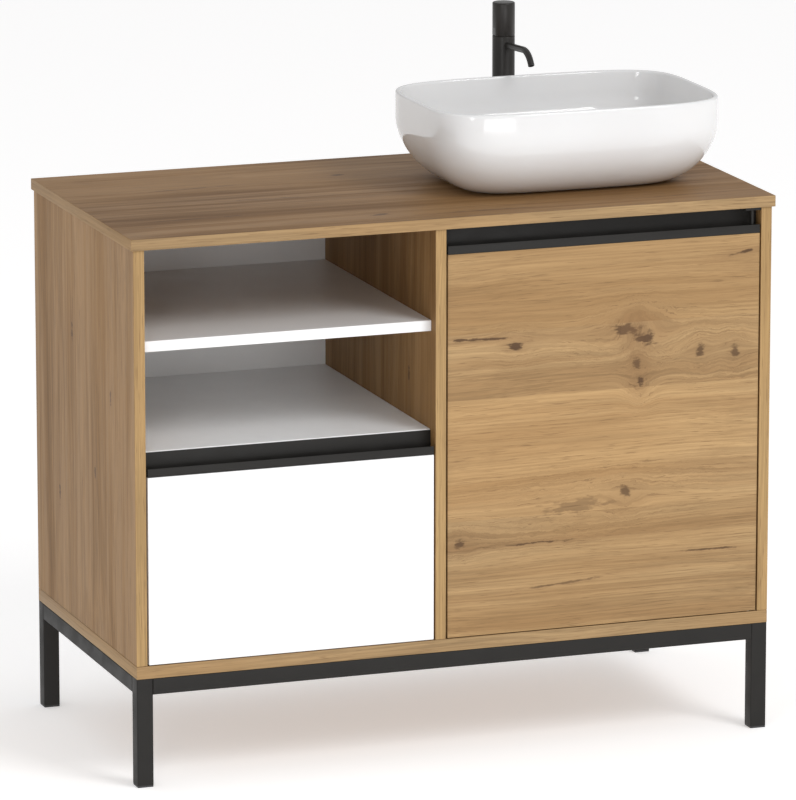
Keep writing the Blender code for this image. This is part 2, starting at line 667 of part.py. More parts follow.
# Tap
def make_tap():
    centre = (BASIN_X, TAP_Y, 0)
    foot = WORKTOP_TOP + GAP
    chamber = CARTRIDGE_SEAT
    column = [
        (0, chamber),
        (CARTRIDGE_BORE, chamber),
        (CARTRIDGE_BORE, TAP_SEAM),
        (TAP_RADIUS, TAP_SEAM),
        (TAP_RADIUS, foot + 0.0035),
        (TAP_BASE_RADIUS, foot + 0.0020),
        (TAP_BASE_RADIUS, foot),
        (TAP_BORE, foot),
        (TAP_BORE, chamber - 0.008),
        (0, chamber - 0.008),
    ]
    turned("tap_body", column, centre, TAP_BLACK, 40)
    cartridge = [
        (0, TAP_SEAM + 0.0120),
        (STEM_RADIUS, TAP_SEAM + 0.0120),
        (STEM_RADIUS, TAP_SEAM - 0.0010),
        (CARTRIDGE_BORE - 0.0005, TAP_SEAM - 0.0010),
        (CARTRIDGE_BORE - 0.0005, chamber + GAP),
        (0, chamber + GAP),
    ]
    turned("tap_cartridge", cartridge, centre, STEEL, 24)
    cap = [
        (0, TAP_TOP),
        (TAP_RADIUS - 0.0012, TAP_TOP),
        (TAP_RADIUS, TAP_TOP - 0.0012),
        (TAP_RADIUS, TAP_SEAM + 0.0005),
        (STEM_RADIUS + 0.0005, TAP_SEAM + 0.0005),
        (STEM_RADIUS + 0.0005, TAP_SEAM + 0.0150),
        (0, TAP_SEAM + 0.0150),
    ]
    handle = turned("tap_handle", cap, centre, TAP_BLACK, 40)
    scoop = board(
        "handle_scoop",
        (BASIN_X - TAP_RADIUS - 0.01, TAP_Y - 0.010, TAP_SEAM - 0.005),
        (BASIN_X - TAP_RADIUS + SCOOP_DEPTH, TAP_Y + 0.010, TAP_SEAM + 0.0125),
        STEEL,
        edge=0,
    )
    boolean(handle, scoop, "DIFFERENCE")
    make_spout()
    under = WORKTOP_UNDER - GAP
    shank = [
        (0, foot + 0.0200),
        (SHANK_RADIUS, foot + 0.0200),
        (SHANK_RADIUS, SHANK_FOOT),
        (0, SHANK_FOOT),
    ]
    turned("tap_shank", shank, centre, STEEL, 24)
    seat = under - WASHER_THICK
    hole = SHANK_RADIUS + GAP
    ring("tap_washer", 0.0220, hole, seat, under, centre[:2], RUBBER)
    hex_nut("tap_nut", 0.0190, hole, under - NUT_DEPTH, seat - GAP, centre[:2], STEEL)


def make_spout():
    """A slim round spout: almost level from the column, then a bend to an outlet that leans forwards."""
    root_y = TAP_Y - TAP_RADIUS - GAP
    end_y = TAP_Y - SPOUT_REACH
    path = [Vector((BASIN_X, root_y, SPOUT_Z))]
    bend_y = end_y + SPOUT_BEND * math.sin(SPOUT_TURN)
    for k in range(11):
        angle = SPOUT_TURN * k / 10
        height = SPOUT_Z + SPOUT_RISE - SPOUT_BEND * (1 - math.cos(angle))
        path.append(Vector((BASIN_X, bend_y - SPOUT_BEND * math.sin(angle), height)))
    way = Vector((0, -math.cos(SPOUT_TURN), -math.sin(SPOUT_TURN)))
    path.append(path[-1] + way * 0.002)
    curve = bpy.data.curves.new("tap_spout", "CURVE")
    curve.dimensions = "3D"
    curve.bevel_depth = SPOUT_RADIUS
    curve.bevel_resolution = 3
    curve.use_fill_caps = True
    spline = curve.splines.new("POLY")
    spline.points.add(len(path) - 1)
    for point, place in zip(spline.points, path):
        point.co = (*place, 1.0)
    spout = bpy.data.objects.new("tap_spout", curve)
    curve.materials.append(TAP_BLACK)
    bpy.context.collection.objects.link(spout)
    aerator = ring("tap_aerator", SPOUT_RADIUS, 0.0032, -0.0025, 0, (0, 0), TAP_BLACK, 24)
    aerator.location = path[-1] + way * GAP
    aerator.rotation_euler = (SPOUT_TURN - math.pi / 2, 0, 0)


make_worktop()
make_carcass()
make_grip_profiles()
make_base_frame()
make_drawer()
make_runners()
make_door()
make_basin()
make_waste()
make_trap()
make_tap()
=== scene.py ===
import json
import math

import bpy
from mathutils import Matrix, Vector


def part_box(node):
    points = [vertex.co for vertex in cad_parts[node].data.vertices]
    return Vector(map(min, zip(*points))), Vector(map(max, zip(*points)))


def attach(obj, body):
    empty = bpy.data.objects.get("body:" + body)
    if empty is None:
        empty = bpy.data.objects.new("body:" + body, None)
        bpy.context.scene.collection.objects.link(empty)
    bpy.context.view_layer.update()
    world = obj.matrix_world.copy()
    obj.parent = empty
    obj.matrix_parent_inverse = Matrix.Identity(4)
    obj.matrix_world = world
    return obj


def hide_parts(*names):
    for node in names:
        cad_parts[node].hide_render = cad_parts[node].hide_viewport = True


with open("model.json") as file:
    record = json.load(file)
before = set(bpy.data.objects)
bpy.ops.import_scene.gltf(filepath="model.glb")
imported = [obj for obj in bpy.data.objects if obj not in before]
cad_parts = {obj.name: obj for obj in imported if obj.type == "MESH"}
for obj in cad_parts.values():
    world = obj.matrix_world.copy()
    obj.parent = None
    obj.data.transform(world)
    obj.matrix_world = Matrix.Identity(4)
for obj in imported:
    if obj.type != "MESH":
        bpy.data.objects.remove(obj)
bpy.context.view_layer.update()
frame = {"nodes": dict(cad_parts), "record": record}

nodes = frame["nodes"]
scene = bpy.context.scene
print("frame loaded with", len(nodes), "nodes")


# Camera and studio
studio = {
    "cameraPlace": (-3.3298, -9.2953, 2.7240),
    "cameraPitch": 77.255,
    "cameraHeading": -19.684,
    "lens": 305.1,
    "sensor": 36.0,
    "farClip": 120.0,
    "worldGlow": 0.60,
    "floorSize": 60.0,
    "floorShade": (0.93, 0.925, 0.925, 1.0),
    "floorGlow": 0.40,
}
studioLights = [
    # name, place, aims at, width, height, watts
    ("keySoftbox", (2.4, -4.4, 4.6), (0.0, 0.0, 0.5), 2.4, 2.4, 145.0),
    ("frontFill", (-0.2, -4.8, 0.45), (0.15, 0.0, 0.8), 2.2, 0.9, 24.0),
    ("glazeSoftbox", (-1.7, -2.6, 1.35), (0.03, -0.15, 0.93), 0.45, 0.9, 7.0),
]

bpy.ops.object.camera_add(
    location=studio["cameraPlace"],
    rotation=(math.radians(studio["cameraPitch"]), 0, math.radians(studio["cameraHeading"])),
)
camera = bpy.context.object
camera.name = "studioCamera"
camera.data.sensor_fit = "HORIZONTAL"
camera.data.sensor_width = studio["sensor"]
camera.data.lens = studio["lens"]
camera.data.clip_end = studio["farClip"]
scene.camera = camera

world = bpy.data.worlds.new("paleStudio")
world.use_nodes = True
world.node_tree.nodes["Background"].inputs["Color"].default_value = (1.0, 1.0, 1.0, 1.0)
world.node_tree.nodes["Background"].inputs["Strength"].default_value = studio["worldGlow"]
scene.world = world
scene.view_settings.view_transform = "Standard"

for name, place, aim, width, height, watts in studioLights:
    bpy.ops.object.light_add(type="AREA", location=place)
    lamp = bpy.context.object
    lamp.name = name
    lamp.data.shape = "RECTANGLE"
    lamp.data.size = width
    lamp.data.size_y = height
    lamp.data.energy = watts
    lamp.rotation_euler = (Vector(aim) - Vector(place)).to_track_quat("-Z", "Y").to_euler()
    lamp.visible_camera = False
print("camera and lights ready")


# Node helpers
def feed(tree, socket, value):
    if isinstance(value, bpy.types.NodeSocket):
        tree.links.new(value, socket)
    else:
        socket.default_value = value


def put(tree, kind, inputs=None, **settings):
    node = tree.nodes.new("ShaderNode" + kind)
    for key, value in settings.items():
        setattr(node, key, value)
    for key, value in (inputs or {}).items():
        feed(tree, node.inputs[key], value)
    return node


def calc(tree, operation, first, second=0.0):
    return put(tree, "Math", {0: first, 1: second}, operation=operation).outputs[0]


def fade(tree, value, low, high, start=0.0, end=1.0):
    inputs = {"Value": value, "From Min": low, "From Max": high, "To Min": start, "To Max": end}
    return put(tree, "MapRange", inputs, interpolation_type="SMOOTHSTEP").outputs["Result"]


def stretched(tree, vector, scale):
    return put(tree, "Mapping", {"Vector": vector, "Scale": scale}).outputs["Vector"]


def grainNoise(tree, vector, scale, detail=3.0, roughness=0.5, distortion=0.0):
    inputs = {
        "Vector": vector,
        "Scale": scale,
        "Detail": detail,
        "Roughness": roughness,
        "Distortion": distortion,
    }
    return put(tree, "TexNoise", inputs).outputs["Fac"]


def blendColour(tree, amount, first, second, blend="MIX"):
    node = put(tree, "Mix", data_type="RGBA", blend_type=blend)
    for socket, value in ((node.inputs[0], amount), (node.inputs[6], first), (node.inputs[7], second)):
        feed(tree, socket, value)
    return node.outputs[2]


def startGroup(name, inputs, outputs):
    group = bpy.data.node_groups.new(name, "ShaderNodeTree")
    for label, kind, value in inputs:
        socket = group.interface.new_socket(label, in_out="INPUT", socket_type="NodeSocket" + kind)
        if value is not None:
            socket.default_value = value
    for label, kind in outputs:
        group.interface.new_socket(label, in_out="OUTPUT", socket_type="NodeSocket" + kind)
    given = group.nodes.new("NodeGroupInput").outputs
    result = group.nodes.new("NodeGroupOutput").inputs
    return group, given, result


def useGroup(tree, group, inputs):
    node = tree.nodes.new("ShaderNodeGroup")
    node.node_tree = group
    for key, value in inputs.items():
        feed(tree, node.inputs[key], value)
    return node.outputs


def startMaterial(name, **shaderValues):
    material = bpy.data.materials.new(name)
    material.use_nodes = True
    tree = material.node_tree
    shader = tree.nodes["Principled BSDF"]
    for key, value in shaderValues.items():
        shader.inputs[key.replace("_", " ")].default_value = value
    place = put(tree, "TexCoord").outputs["Object"]
    return material, tree, shader, place


def addBump(tree, shader, height, strength, distance):
    bump = put(tree, "Bump", {"Height": height, "Strength": strength, "Distance": distance})
    tree.links.new(bump.outputs["Normal"], shader.inputs["Normal"])


# Oak pattern: X runs along the grain
oakGrain, given, result = startGroup(
    "oakGrain",
    [
        ("Vector", "Vector", None),
        ("Pale", "Color", (0.47, 0.31, 0.155, 1)),
        ("Deep", "Color", (0.29, 0.17, 0.075, 1)),
        ("Figure", "Float", 1.0),
        ("Pores", "Float", 1.0),
    ],
    [("Color", "Color"), ("Roughness", "Float"), ("Height", "Float")],
)
sway = grainNoise(oakGrain, stretched(oakGrain, given["Vector"], (1.1, 6.0, 6.0)), 1.0, 2.0)
swayAmount = calc(oakGrain, "MULTIPLY", calc(oakGrain, "SUBTRACT", sway, 0.5), 0.055)
swayVector = put(oakGrain, "CombineXYZ", {"Y": swayAmount, "Z": swayAmount}).outputs[0]
swayed = put(
    oakGrain, "VectorMath", {0: given["Vector"], 1: swayVector}, operation="ADD"
).outputs[0]
bands = grainNoise(oakGrain, stretched(oakGrain, swayed, (0.75, 24.0, 24.0)), 1.0, 7.0, 0.62, 0.3)
bandMask = fade(oakGrain, bands, 0.34, 0.70)
rings = put(
    oakGrain,
    "TexWave",
    {"Vector": stretched(oakGrain, swayed, (0.22, 1, 1)), "Scale": 9.0, "Distortion": 7.0, "Detail": 2.0,
     "Detail Scale": 1.4},
    bands_direction="Y",
).outputs["Fac"]
ringMask = calc(oakGrain, "MULTIPLY", fade(oakGrain, rings, 0.45, 1.0), 0.35)
fibres = grainNoise(oakGrain, stretched(oakGrain, swayed, (4.0, 330.0, 330.0)), 1.0, 3.0, 0.6)
pores = grainNoise(oakGrain, stretched(oakGrain, swayed, (26.0, 760.0, 760.0)), 1.0, 1.0)
poreMask = calc(oakGrain, "MULTIPLY", fade(oakGrain, pores, 0.60, 0.74), given["Pores"])
blotch = grainNoise(oakGrain, stretched(oakGrain, given["Vector"], (1.6, 4.2, 4.2)), 1.0, 2.0)
figure = calc(oakGrain, "MULTIPLY", calc(oakGrain, "MAXIMUM", bandMask, ringMask), given["Figure"])
tone = blendColour(oakGrain, figure, given["Pale"], given["Deep"])
fibreTone = fade(oakGrain, fibres, 0.30, 0.70, 0.80, 1.14)
fibreGrey = put(oakGrain, "CombineColor", {0: fibreTone, 1: fibreTone, 2: fibreTone}).outputs[0]
tone = blendColour(oakGrain, 1.0, tone, fibreGrey, "MULTIPLY")
warmth = fade(oakGrain, blotch, 0.35, 0.68, 0.0, 0.34)
tone = blendColour(oakGrain, warmth, tone, (0.40, 0.225, 0.085, 1))
cloud = grainNoise(oakGrain, stretched(oakGrain, swayed, (6.5, 17.0, 17.0)), 1.0, 5.0, 0.65, 0.4)
cloudMask = calc(oakGrain, "MULTIPLY", fade(oakGrain, cloud, 0.54, 0.76), 0.38)
tone = blendColour(oakGrain, cloudMask, tone, given["Deep"])
tone = blendColour(oakGrain, calc(oakGrain, "MULTIPLY", poreMask, 0.45), tone, (0.13, 0.07, 0.03, 1))
oakGrain.links.new(tone, result["Color"])
oakGrain.links.new(fade(oakGrain, figure, 0.0, 1.0, 0.46, 0.58), result["Roughness"])
depth = calc(oakGrain, "SUBTRACT", fibres, calc(oakGrain, "MULTIPLY", poreMask, 0.8))
oakGrain.links.new(depth, result["Height"])

# A knot or crack: a ragged ellipse that also bends the grain round itself
woodFlaw, given, result = startGroup(
    "woodFlaw",
    [
        ("Vector", "Vector", None),
        ("Place", "Vector", None),
        ("Reach", "Vector", (0.01, 10.0, 0.006)),
        ("Tilt", "Float", 0.0),
        ("Bend", "Float", 0.6),
    ],
    [("Vector", "Vector"), ("Mask", "Float"), ("Halo", "Float")],
)
offset = put(woodFlaw, "VectorMath", {0: given["Vector"], 1: given["Place"]}, operation="SUBTRACT").outputs[0]
turned = put(
    woodFlaw, "VectorRotate", {"Vector": offset, "Angle": given["Tilt"]}, rotation_type="Y_AXIS"
).outputs[0]
shrunk = put(woodFlaw, "VectorMath", {0: turned, 1: given["Reach"]}, operation="DIVIDE").outputs[0]
radius = put(woodFlaw, "VectorMath", {0: shrunk}, operation="LENGTH").outputs["Value"]
ragged = grainNoise(woodFlaw, stretched(woodFlaw, given["Vector"], (0.6, 1, 1.8)), 95.0, 4.0, 0.6)
tatter = calc(woodFlaw, "MULTIPLY", calc(woodFlaw, "SUBTRACT", ragged, 0.5), 2.6)
radius = calc(woodFlaw, "ADD", radius, tatter)
spread = calc(woodFlaw, "POWER", calc(woodFlaw, "MULTIPLY", radius, 0.36), 2.0)
halo = calc(woodFlaw, "EXPONENT", calc(woodFlaw, "MULTIPLY", spread, -1.0))
height = put(woodFlaw, "SeparateXYZ", {0: offset}).outputs["Z"]
pull = calc(woodFlaw, "MULTIPLY", calc(woodFlaw, "MULTIPLY", height, halo), given["Bend"])
pullVector = put(woodFlaw, "CombineXYZ", {"Z": pull}).outputs[0]
bent = put(woodFlaw, "VectorMath", {0: given["Vector"], 1: pullVector}, operation="SUBTRACT").outputs[0]
woodFlaw.links.new(bent, result["Vector"])
woodFlaw.links.new(fade(woodFlaw, radius, 1.0, 0.35), result["Mask"])
woodFlaw.links.new(halo, result["Halo"])

# Edge rub: where a rounded edge turns away from its flat neighbours
edgeRub, given, result = startGroup(
    "edgeRub", [("Width", "Float", 0.0008), ("Vector", "Vector", None)], [("Mask", "Float")]
)
softNormal = edgeRub.nodes.new("ShaderNodeBevel")
softNormal.samples = 4
edgeRub.links.new(given["Width"], softNormal.inputs["Radius"])
hardNormal = put(edgeRub, "NewGeometry").outputs["Normal"]
facing = put(
    edgeRub, "VectorMath", {0: softNormal.outputs[0], 1: hardNormal}, operation="DOT_PRODUCT"
).outputs["Value"]
rubNoise = grainNoise(edgeRub, given["Vector"], 140.0, 4.0, 0.65)
rubbed = calc(edgeRub, "MULTIPLY", fade(edgeRub, facing, 0.985, 0.90), fade(edgeRub, rubNoise, 0.45, 0.7))
edgeRub.links.new(rubbed, result["Mask"])
print("node groups ready")


# Materials
def oakMaterial(name, turn, pale, deep, figure=1.0, shift=(0, 0, 0), flaws=(), seams=(), face=(0, 0, 0)):
    material, tree, shader, place = startMaterial(name, Specular_IOR_Level=0.22)
    # face turns the board's wide side to X across and Z up, which is how the flaws are listed
    if any(face):
        place = put(tree, "Mapping", {
            "Vector": place, "Rotation": [math.radians(angle) for angle in face],
        }).outputs["Vector"]
    vector = place
    masks = []
    for x, z, halfLength, halfHeight, tilt, bend, dark in flaws:
        flaw = useGroup(tree, woodFlaw, {
            "Vector": vector,
            "Place": (x, 0, z),
            "Reach": (halfLength, 10.0, halfHeight),
            "Tilt": math.radians(tilt),
            "Bend": bend,
        })
        vector = flaw["Vector"]
        masks.append((flaw["Mask"], flaw["Halo"], dark))
    plank = None
    if seams:
        height = put(tree, "SeparateXYZ", {0: place}).outputs["Z"]
        plank = 0.0
        for seam in seams:
            plank = calc(tree, "ADD", plank, calc(tree, "GREATER_THAN", height, seam))
        slip = put(tree, "CombineXYZ", {"X": calc(tree, "MULTIPLY", plank, 3.7)}).outputs[0]
        vector = put(tree, "VectorMath", {0: vector, 1: slip}, operation="ADD").outputs[0]
    mapped = put(tree, "Mapping", {
        "Vector": vector, "Location": shift, "Rotation": [math.radians(angle) for angle in turn],
    }).outputs["Vector"]
    grain = useGroup(tree, oakGrain, {"Vector": mapped, "Pale": pale, "Deep": deep, "Figure": figure})
    colour = grain["Color"]
    if plank is not None:
        lift = calc(tree, "FRACT", calc(tree, "MULTIPLY", calc(tree, "ADD", plank, 0.35), 0.618))
        lift = fade(tree, lift, 0.0, 1.0, 0.93, 1.06)
        grey = put(tree, "CombineColor", {0: lift, 1: lift, 2: lift}).outputs[0]
        colour = blendColour(tree, 1.0, colour, grey, "MULTIPLY")
    for mask, halo, dark in masks:
        stain = calc(tree, "MULTIPLY", halo, 0.28 * dark)
        colour = blendColour(tree, stain, colour, (0.20, 0.105, 0.045, 1))
        colour = blendColour(tree, calc(tree, "MULTIPLY", mask, dark), colour, (0.075, 0.038, 0.018, 1))
    tree.links.new(colour, shader.inputs["Base Color"])
    tree.links.new(grain["Roughness"], shader.inputs["Roughness"])
    addBump(tree, shader, grain["Height"], 0.22, 0.0002)
    return material


oakTones = {
    "doorPale": (0.445, 0.292, 0.140, 1),
    "doorDeep": (0.262, 0.153, 0.067, 1),
    "topPale": (0.310, 0.176, 0.072, 1),
    "topDeep": (0.150, 0.073, 0.025, 1),
    "sidePale": (0.352, 0.203, 0.081, 1),
    "sideDeep": (0.215, 0.113, 0.039, 1),
    "bandPale": (0.375, 0.248, 0.122, 1),
    "bandDeep": (0.272, 0.173, 0.082, 1),
    "postPale": (0.425, 0.276, 0.121, 1),
    "postDeep": (0.330, 0.208, 0.090, 1),
}
# Flaws: across and up the face, half length, half height, tilt in degrees, bend, darkness
doorFlaws = [
    (0.035, 0.631, 0.062, 0.0027, -1.5, 0.35, 0.90),
    (0.091, 0.618, 0.013, 0.0085, 0, 0.75, 0.92),
    (0.262, 0.630, 0.026, 0.0105, 6, 0.80, 0.85),
    (0.296, 0.620, 0.018, 0.0120, -12, 0.80, 0.90),
    (0.283, 0.585, 0.008, 0.0170, 4, 0.75, 0.75),
    (0.287, 0.563, 0.007, 0.0105, 0, 0.75, 0.85),
    (0.383, 0.590, 0.009, 0.0120, 0, 0.75, 0.78),
    (0.439, 0.586, 0.009, 0.0115, 0, 0.75, 0.74),
    (0.450, 0.734, 0.030, 0.0025, 9, 0.30, 0.90),
    (0.190, 0.369, 0.062, 0.0125, 3, 0.65, 0.42),
    (0.265, 0.378, 0.010, 0.0080, 0, 0.80, 0.75),
    (0.118, 0.321, 0.088, 0.0022, 1, 0.30, 0.80),
    (0.396, 0.285, 0.055, 0.0023, -1, 0.30, 0.80),
    (0.004, 0.328, 0.012, 0.0085, 0, 0.70, 0.80),
    (0.163, 0.252, 0.075, 0.0023, 4, 0.30, 0.60),
]
topFlaws = [
    (-0.36, -0.13, 0.110, 0.0022, 2, 0.30, 0.80),
    (-0.22, -0.02, 0.085, 0.0020, -3, 0.30, 0.75),
    (-0.10, -0.19, 0.014, 0.0085, 0, 0.75, 0.80),
    (-0.31, 0.09, 0.095, 0.0024, 4, 0.30, 0.70),
    (-0.06, 0.12, 0.012, 0.0080, 0, 0.75, 0.70),
    (0.05, -0.21, 0.120, 0.0021, -1, 0.30, 0.75),
    (0.36, -0.20, 0.080, 0.0024, 2, 0.30, 0.70),
    (0.44, 0.06, 0.013, 0.0090, 0, 0.75, 0.75),
]
sideFlaws = [
    (-0.06, 0.62, 0.0045, 0.016, 0, 0.35, 0.75),
    (0.05, 0.43, 0.0040, 0.014, 0, 0.35, 0.70),
    (-0.13, 0.36, 0.0045, 0.018, 0, 0.35, 0.65),
    (0.13, 0.56, 0.0040, 0.013, 0, 0.35, 0.65),
]
doorSeams = (0.359, 0.541, 0.640)
alongX, alongY, alongZ = (0, 0, 0), (0, 0, 90), (0, 90, 0)
doorTurn = (90, 0, 0)
topFace, sideFace = (90, 0, 0), (0, 0, 90)


def oakFinish(name, tone, turn, figure, shift, **extras):
    return oakMaterial(name, turn, oakTones[tone + "Pale"], oakTones[tone + "Deep"], figure, shift, **extras)


oakDoor = oakFinish("oakDoor", "door", doorTurn, 0.8, (0.2, 0.3, 0), flaws=doorFlaws, seams=doorSeams)
oakTop = oakFinish("oakTop", "top", alongX, 1.0, (0.7, 0.1, 0), flaws=topFlaws, face=topFace)
oakSide = oakFinish("oakSide", "side", alongZ, 1.0, (0.4, 0.6, 0.2), flaws=sideFlaws, face=sideFace)
oakBand = oakFinish("oakBand", "band", alongX, 0.8, (0.1, 0.9, 0.4))
oakEndBand = oakFinish("oakEndBand", "band", alongY, 0.8, (0.3, 0.2, 0))
oakPostBand = oakFinish("oakPostBand", "post", alongZ, 0.8, (0.5, 0.5, 0))


def speckledMaterial(name, colour, second, roughness, grit, bump, rub=None, mottle=14.0, **values):
    material, tree, shader, place = startMaterial(name, **values)
    cloud = grainNoise(tree, place, mottle, 3.0, 0.55)
    base = blendColour(tree, fade(tree, cloud, 0.35, 0.65), colour, second)
    pattern = grainNoise(tree, place, grit, 2.0, 0.6)
    shine = fade(tree, cloud, 0.3, 0.7, roughness * 0.88, roughness * 1.14)
    if rub:
        worn = useGroup(tree, edgeRub, {"Vector": place, "Width": rub[0]})["Mask"]
        base = blendColour(tree, calc(tree, "MULTIPLY", worn, rub[2]), base, rub[1])
    tree.links.new(base, shader.inputs["Base Color"])
    tree.links.new(shine, shader.inputs["Roughness"])
    addBump(tree, shader, pattern, bump, 0.0001)
    return material


whiteLaminate = speckledMaterial(
    "whiteLaminate", (0.88, 0.88, 0.88, 1), (0.865, 0.866, 0.868, 1), 0.36, 2600.0, 0.10,
    (0.0006, (0.70, 0.69, 0.67, 1), 0.35),
)
blackSteel = speckledMaterial(
    "blackSteel", (0.0125, 0.0113, 0.0100, 1), (0.0160, 0.0146, 0.0130, 1), 0.52, 1500.0, 0.55,
    (0.0009, (0.06, 0.056, 0.052, 1), 0.6), 22.0, Specular_IOR_Level=0.28,
)
tapBlack = speckledMaterial(
    "tapBlack", (0.018, 0.016, 0.014, 1), (0.022, 0.019, 0.017, 1), 0.36, 3200.0, 0.16,
    (0.0006, (0.06, 0.05, 0.042, 1), 0.5), 30.0, Coat_Weight=0.10, Coat_Roughness=0.25,
    Specular_IOR_Level=0.30,
)
blackRubber = speckledMaterial(
    "blackRubber", (0.022, 0.022, 0.022, 1), (0.03, 0.03, 0.03, 1), 0.80, 900.0, 0.5)
blackPlastic = speckledMaterial(
    "blackPlastic", (0.035, 0.035, 0.036, 1), (0.043, 0.043, 0.044, 1), 0.52, 1400.0, 0.35)
chromePolish = speckledMaterial(
    "chromePolish", (0.78, 0.78, 0.79, 1), (0.72, 0.72, 0.74, 1), 0.10, 420.0, 0.03,
    None, 35.0, Metallic=1.0,
)

glaze, tree, shader, place = startMaterial(
    "whiteGlaze", IOR=1.5, Coat_Weight=0.3, Coat_Roughness=0.04, Specular_IOR_Level=0.45,
    Subsurface_Weight=0.35, Subsurface_Radius=(0.030, 0.028, 0.026), Subsurface_Scale=1.0)
cloud = grainNoise(tree, place, 7.0, 3.0, 0.5)
tree.links.new(
    blendColour(tree, fade(tree, cloud, 0.3, 0.7), (0.765, 0.762, 0.762, 1), (0.74, 0.735, 0.736, 1)),
    shader.inputs["Base Color"],
)
pin = grainNoise(tree, place, 520.0, 2.0)
tree.links.new(fade(tree, pin, 0.4, 0.75, 0.055, 0.12), shader.inputs["Roughness"])
addBump(tree, shader, grainNoise(tree, place, 16.0, 2.0), 0.05, 0.0012)

zincSteel, tree, shader, place = startMaterial("zincSteel", Metallic=1.0)
spangle = put(tree, "TexVoronoi", {"Vector": place, "Scale": 190.0}).outputs["Color"]
spangleTone = put(tree, "SeparateColor", {0: spangle}).outputs[0]
brush = grainNoise(tree, stretched(tree, place, (900, 12, 900)), 1.0, 3.0, 0.6)
tree.links.new(
    blendColour(tree, spangleTone, (0.52, 0.53, 0.55, 1), (0.66, 0.66, 0.65, 1)), shader.inputs["Base Color"])
tree.links.new(fade(tree, brush, 0.3, 0.7, 0.26, 0.42), shader.inputs["Roughness"])
addBump(tree, shader, brush, 0.12, 0.0001)
print("materials ready")


# Modelling helpers
def clearSelection():
    if bpy.context.object and bpy.context.object.mode != "OBJECT":
        bpy.ops.object.mode_set(mode="OBJECT")
    bpy.ops.object.select_all(action="DESELECT")


def editAll():
    bpy.ops.object.mode_set(mode="EDIT")
    bpy.ops.mesh.select_all(action="SELECT")


def leaveEdit():
    bpy.ops.object.mode_set(mode="OBJECT")


def settle(piece, angle=30):
    # place kept in the mesh, smooth shading up to an angle
    clearSelection()
    piece.select_set(True)
    bpy.context.view_layer.objects.active = piece
    bpy.ops.object.transform_apply(location=True, rotation=True, scale=True)
    bpy.ops.object.shade_smooth_by_angle(angle=math.radians(angle))


def finish(piece, body, slotName, materials, *replaced):
    piece.data.materials.clear()
    for material in materials:
        piece.data.materials.append(material)
    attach(piece, body)
    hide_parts(*replaced)


def applyModifier(piece, kind, **settings):
    clearSelection()
    piece.select_set(True)
    bpy.context.view_layer.objects.active = piece
    modifier = piece.modifiers.new(kind.lower(), kind)
    for key, value in settings.items():
        setattr(modifier, key, value)
    bpy.ops.object.modifier_apply(modifier=modifier.name)


def selectFaces(piece, test):
    leaveEdit()
    bpy.ops.object.mode_set(mode="EDIT")
    bpy.ops.mesh.select_all(action="DESELECT")
    bpy.ops.mesh.select_mode(type="FACE")
    leaveEdit()
    for face in piece.data.polygons:
        face.select = test(face)
    bpy.ops.object.mode_set(mode="EDIT")


boardStyle = {"arris": 0.0007, "bandSeam": 0.0009, "seamWidth": 0.00012, "seamDepth": 0.00012}


def startBlock(name, node):
    low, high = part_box(node)
    clearSelection()
    bpy.ops.mesh.primitive_cube_add(size=1, location=(low + high) / 2)
    block = bpy.context.object
    block.name = name
    block.scale = high - low
    bpy.ops.object.transform_apply(location=True, rotation=False, scale=True)
    return block


def makeBoard(name, node, thinAxis, holes=()):
    board = startBlock(name, node)
    editAll()
    bpy.ops.mesh.bevel(offset=boardStyle["arris"], segments=3, affect="EDGES")
    # the hairline where the edge band meets the face
    selectFaces(board, lambda face: abs(face.normal[thinAxis]) > 0.99 and face.area > 0.01)
    bpy.ops.mesh.inset(thickness=boardStyle["bandSeam"], depth=0)
    bpy.ops.mesh.inset(thickness=boardStyle["seamWidth"], depth=-boardStyle["seamDepth"])
    bpy.ops.mesh.inset(thickness=boardStyle["seamWidth"], depth=boardStyle["seamDepth"])
    leaveEdit()
    # holes: x, y, radius, bottom, top
    for x, y, radius, bottom, top in holes:
        clearSelection()
        bpy.ops.mesh.primitive_cylinder_add(
            vertices=48, radius=radius, depth=top - bottom, location=(x, y, (top + bottom) / 2))
        drill = bpy.context.object
        applyModifier(board, "BOOLEAN", object=drill, operation="DIFFERENCE", solver="EXACT")
        bpy.data.objects.remove(drill, do_unlink=True)
    settle(board)
    return board


def bandFaces(board, rules):
    # rules: axis the face looks along, material index; run after finish, which resets the indices
    for face in board.data.polygons:
        for axis, index in rules:
            if abs(face.normal[axis]) > 0.7:
                face.material_index = index


# Worktop and carcass
basinLow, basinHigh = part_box("basin")
basinCentre = (basinLow + basinHigh) / 2
tapLow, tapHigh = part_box("tap_handle")
tapCentre = (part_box("tap_shank")[0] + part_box("tap_shank")[1]) / 2
wasteCentre = (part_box("waste_body")[0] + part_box("waste_body")[1]) / 2

topHoles = {"waste": 0.0240, "tap": 0.0175, "low": 0.75, "high": 0.85}
top = makeBoard("oakWorktop", "worktop", 2, [
    (wasteCentre.x, wasteCentre.y, topHoles["waste"], topHoles["low"], topHoles["high"]),
    (tapCentre.x, tapCentre.y, topHoles["tap"], topHoles["low"], topHoles["high"]),
])
finish(top, "root", "oak_laminate", [oakTop, oakBand, oakEndBand], "worktop")
bandFaces(top, [(1, 1), (0, 2)])

for name, node in (("oakSideLeft", "side_panel_left"), ("oakSideRight", "side_panel_right"),
                   ("oakDivider", "divider_panel")):
    board = makeBoard(name, node, 0)
    finish(board, "root", "oak_laminate", [oakSide, oakPostBand], node)
    bandFaces(board, [(1, 1)])

